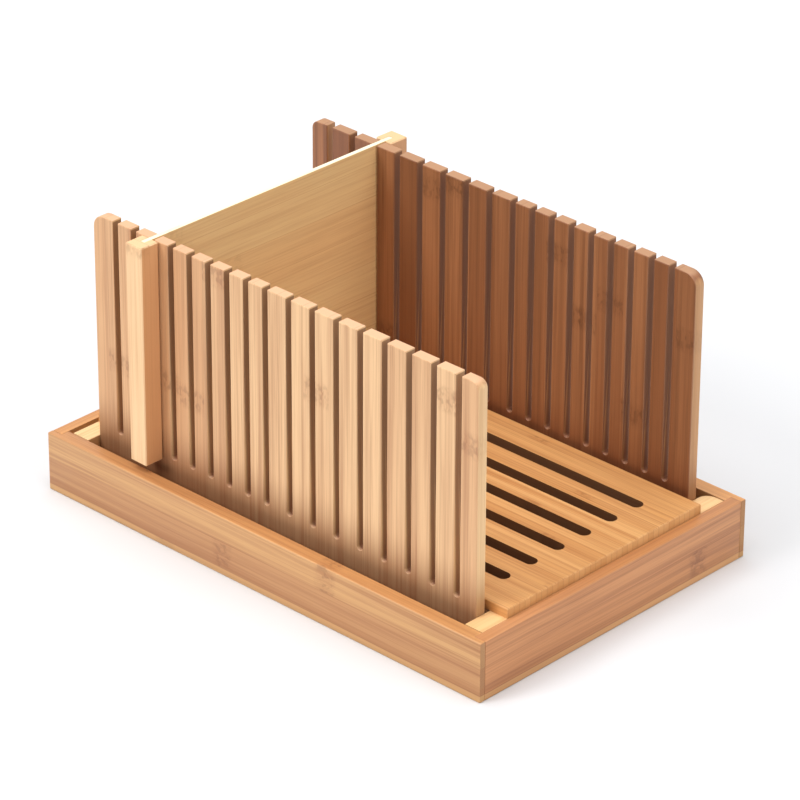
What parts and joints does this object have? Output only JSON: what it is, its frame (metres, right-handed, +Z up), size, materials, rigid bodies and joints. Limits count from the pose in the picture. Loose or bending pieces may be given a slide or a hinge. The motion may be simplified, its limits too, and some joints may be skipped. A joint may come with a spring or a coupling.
{
  "type": "bread slicer guide",
  "caption": "Bamboo bread slicing guide: slotted side walls on a slotted board in a crumb tray, with a drop-in stop panel that sets the slice.",
  "frame": {"origin": "on the table, under the middle of the crumb tray", "axes": "+X along the tray, away from the stop and towards the end where the loaf is cut; +Y across the tray to the far wall; +Z up"},
  "size_m": [0.34, 0.22, 0.1795],
  "materials": {
    "tray_bamboo": "satin",
    "tray_floor_bamboo": "satin",
    "base_bamboo": "satin",
    "batten_bamboo": "satin",
    "wall_bamboo": "satin",
    "dowel_wood": "satin",
    "stop_bamboo": "satin",
    "post_bamboo": "satin",
    "screw_steel": "satin"
  },
  "bodies": {
    "crumb_tray": {"tray_near_board": "tray_bamboo", "tray_far_board": "tray_bamboo", "tray_left_board": "tray_bamboo", "tray_right_board": "tray_bamboo", "tray_bottom_panel": "tray_floor_bamboo"},
    "slicer": {"base_board": "base_bamboo", "left_batten": "batten_bamboo", "right_batten": "batten_bamboo", "near_wall": "wall_bamboo", "far_wall": "wall_bamboo", "near_wall_dowels": "dowel_wood", "far_wall_dowels": "dowel_wood", "base_screws": "screw_steel"},
    "stop": {"stop_panel": "stop_bamboo", "stop_near_post": "post_bamboo", "stop_far_post": "post_bamboo"}
  },
  "joints": [
    {"name": "slicer_lift", "type": "slide", "parent": "crumb_tray", "child": "slicer", "axis": [0, 0, 1], "range_m": [0, 0.06]},
    {"name": "stop_lift", "type": "slide", "parent": "slicer", "child": "stop", "axis": [0, 0, 1], "range_m": [0, 0.15]}
  ]
}
